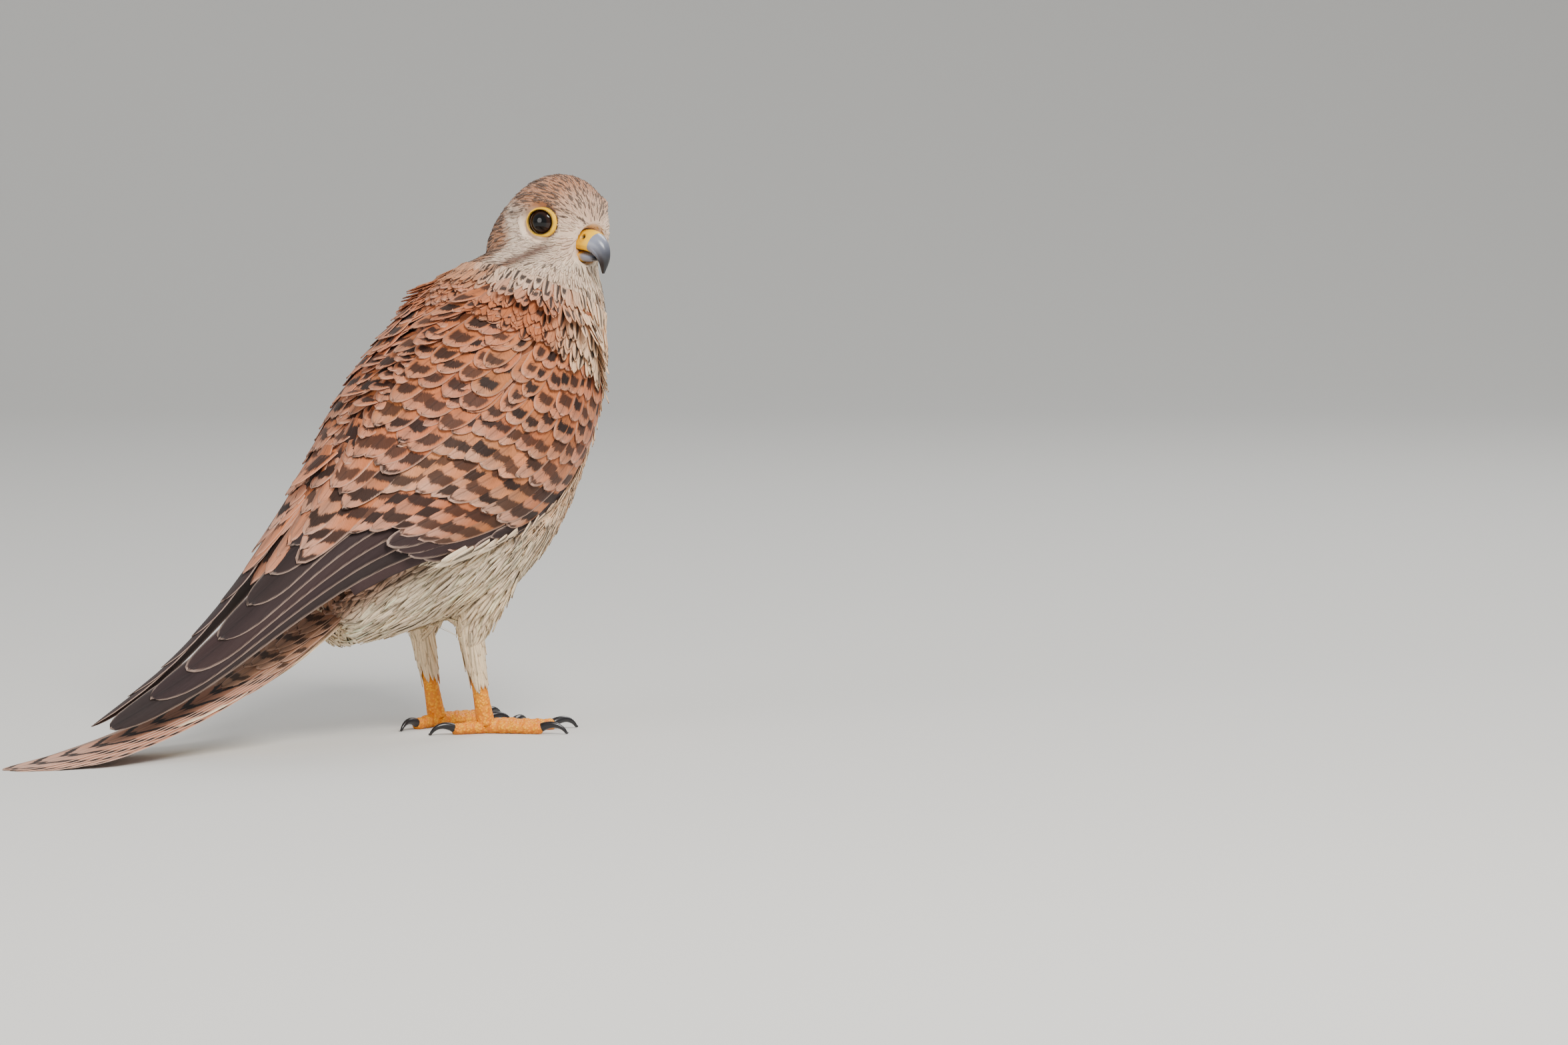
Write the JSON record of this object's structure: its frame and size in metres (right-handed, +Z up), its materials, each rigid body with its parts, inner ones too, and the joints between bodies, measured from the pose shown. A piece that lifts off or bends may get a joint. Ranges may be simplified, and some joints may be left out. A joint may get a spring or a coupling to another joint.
{
  "type": "common kestrel",
  "caption": "Small falcon standing on its two feet, wings folded along the back, head turned over one shoulder and the long tail laid behind it.",
  "frame": {"origin": "middle of the bird's box, on the ground it stands on", "axes": "+X the way the breast faces, the tail runs out along -X; +Y the bird's left; +Z up"},
  "size_m": [0.2628, 0.088, 0.2012],
  "materials": {
    "head_plumage": "soft matte feathers",
    "pale_plumage": "soft matte feathers",
    "back_plumage": "soft matte feathers",
    "wing_feathers": "smooth satin vanes",
    "tail_feathers": "smooth satin vanes",
    "eye": "wet gloss",
    "cere": "smooth waxy skin",
    "bill": "semi-gloss horn",
    "foot_skin": "scaly skin",
    "claw": "semi-gloss horn"
  },
  "bodies": {
    "root": {"head": "head_plumage", "cere": "cere", "bill_upper": "bill", "bill_lower": "bill", "eye_left": "eye", "eye_right": "eye", "neck": "pale_plumage", "torso": "back_plumage", "tail": "tail_feathers", "wing_right": "wing_feathers", "leg_right": "pale_plumage", "foot_right": "foot_skin", "claw_right_inner": "claw", "claw_right_middle": "claw", "claw_right_outer": "claw", "claw_right_hind": "claw", "wing_left": "wing_feathers", "leg_left": "pale_plumage", "foot_left": "foot_skin", "claw_left_inner": "claw", "claw_left_middle": "claw", "claw_left_outer": "claw", "claw_left_hind": "claw"}
  },
  "joints": []
}
